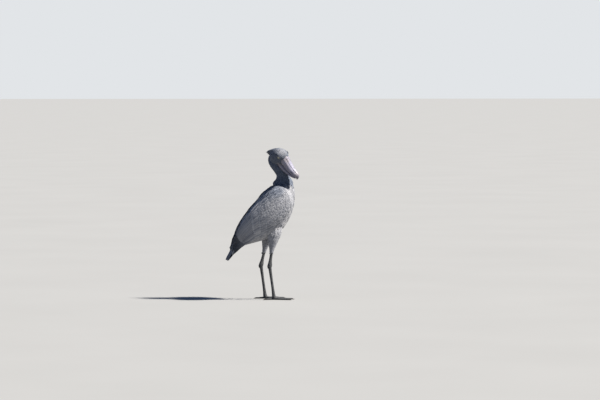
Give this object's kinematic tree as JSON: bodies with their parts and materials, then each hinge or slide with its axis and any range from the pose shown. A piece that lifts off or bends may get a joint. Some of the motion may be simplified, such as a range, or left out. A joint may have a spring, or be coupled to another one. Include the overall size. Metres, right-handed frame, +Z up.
{
  "type": "shoebill",
  "caption": "Life-size standing wading bird with a broad hooked bill held down, folded wings, short tail, long bare legs and long toes.",
  "frame": {"origin": "on the floor, midway under the bounding box", "axes": "+X the way the body faces, +Y the bird's left, +Z up"},
  "size_m": [0.5558, 0.3056, 1.1856],
  "materials": {
    "plumage": "slate-grey feathers, each with a dark shaft and a paler edge",
    "pale_plumage": "paler grey breast, belly and thigh feathers",
    "flight_feathers": "dark slate quills of the wings and tail",
    "bill": "satin horn, pale grey-buff with darker blotches",
    "eye": "wet, pale iris round a black pupil",
    "leg": "dry, dark grey scaly skin",
    "claw": "dull blackish horn"
  },
  "bodies": {
    "root": {"bill_upper": "bill", "bill_lower": "bill", "crest": "plumage", "eye_right": "eye", "eye_left": "eye", "head": "plumage", "neck": "plumage", "trunk": "pale_plumage", "thigh_right": "pale_plumage", "shank_right": "leg", "tarsus_right": "leg", "toe_middle_right": "leg", "claw_middle_right": "claw", "toe_inner_right": "leg", "claw_inner_right": "claw", "toe_outer_right": "leg", "claw_outer_right": "claw", "toe_hind_right": "leg", "claw_hind_right": "claw", "thigh_left": "pale_plumage", "shank_left": "leg", "tarsus_left": "leg", "toe_middle_left": "leg", "claw_middle_left": "claw", "toe_inner_left": "leg", "claw_inner_left": "claw", "toe_outer_left": "leg", "claw_outer_left": "claw", "toe_hind_left": "leg", "claw_hind_left": "claw", "quills_right": "flight_feathers", "wing_right": "plumage", "quills_left": "flight_feathers", "wing_left": "plumage", "tail": "flight_feathers"}
  },
  "joints": []
}
